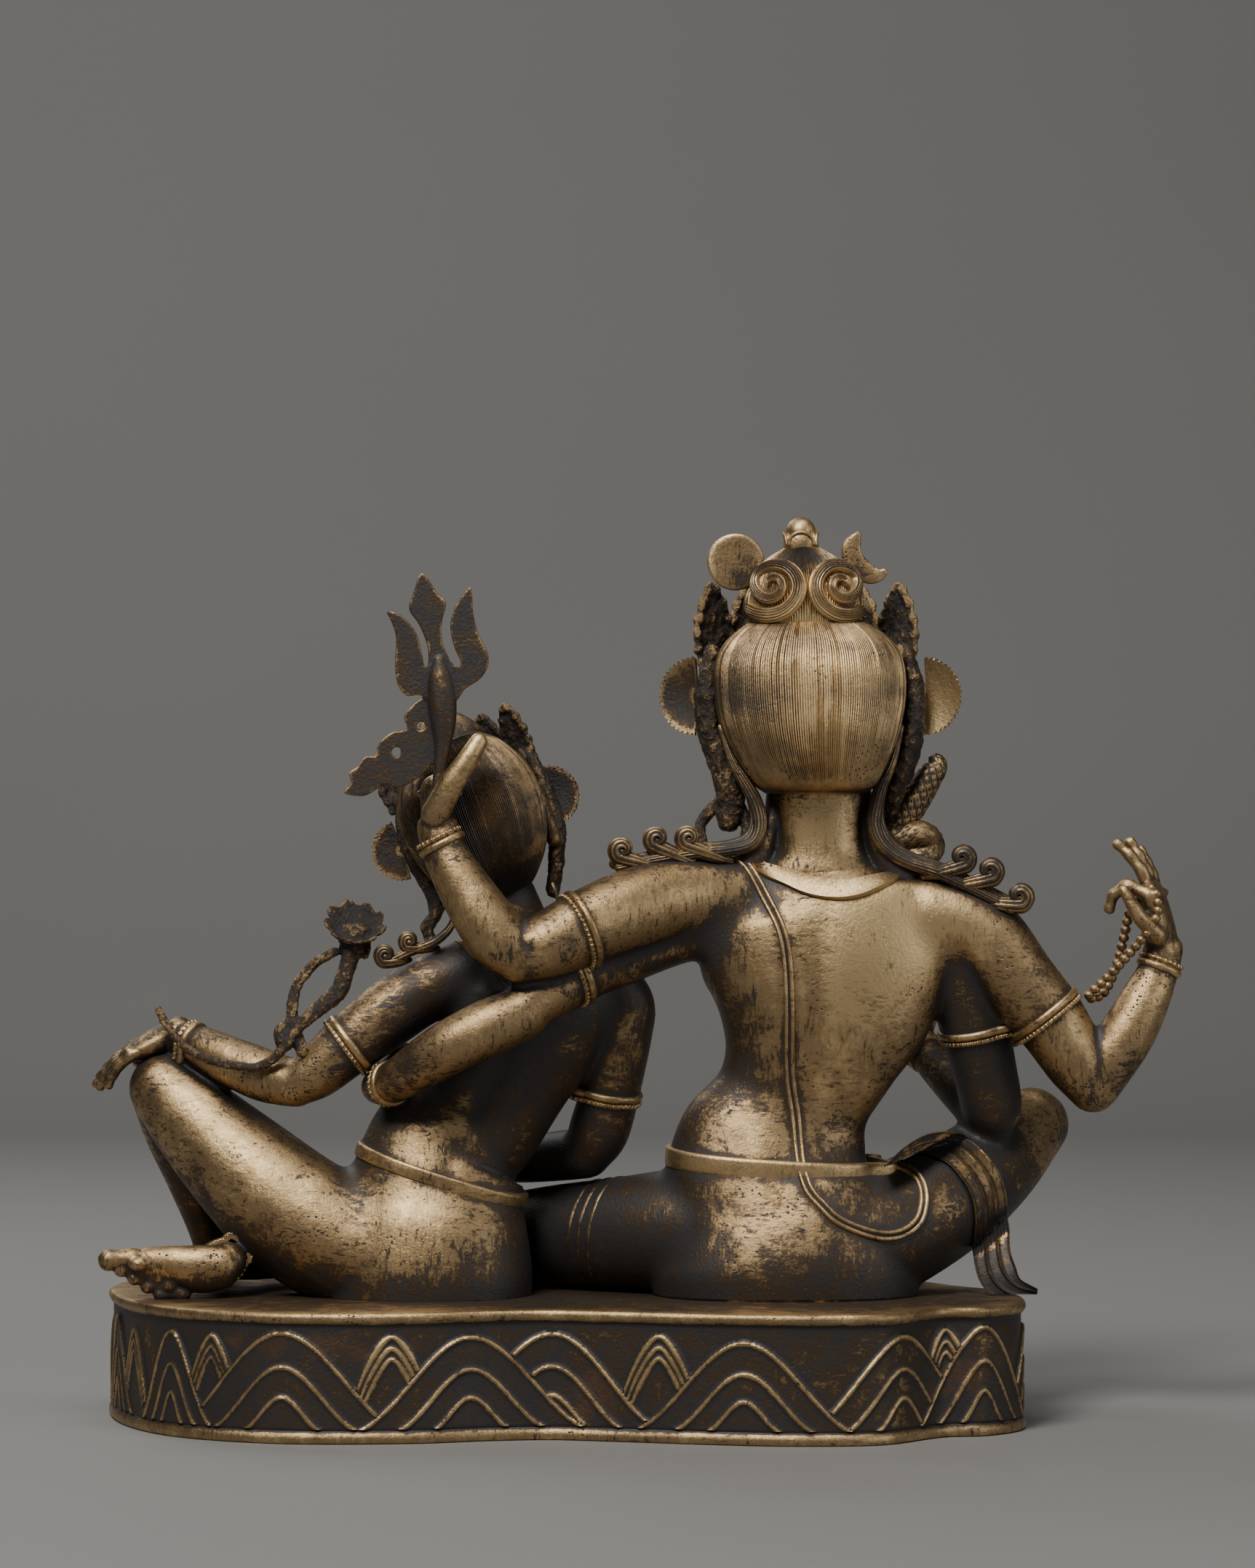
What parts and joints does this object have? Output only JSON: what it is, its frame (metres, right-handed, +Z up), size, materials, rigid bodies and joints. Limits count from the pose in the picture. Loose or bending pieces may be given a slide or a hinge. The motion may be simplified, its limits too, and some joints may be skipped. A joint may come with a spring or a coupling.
{
  "type": "shiva and parvati statue",
  "caption": "Cast bronze group of Shiva and Parvati seated close together on a low cloud-shaped plinth with mountains in relief; Shiva has four arms and holds a trident and a rosary.",
  "frame": {"origin": "middle of the plinth's underside, on the floor", "axes": "+Z up, +X along the plinth towards the larger figure's raised knee and rosary hand, +Y the way the two figures face"},
  "size_m": [0.5569, 0.2355, 0.4592],
  "materials": {
    "dark_bronze": "dark brown patinated bronze, worn golden on the raised lines",
    "worn_bronze": "brown-black patinated bronze, rubbed golden on the high places"
  },
  "bodies": {
    "root": {"plinth": "dark_bronze", "shiva": "worn_bronze", "parvati": "worn_bronze", "trident": "dark_bronze"}
  },
  "joints": []
}
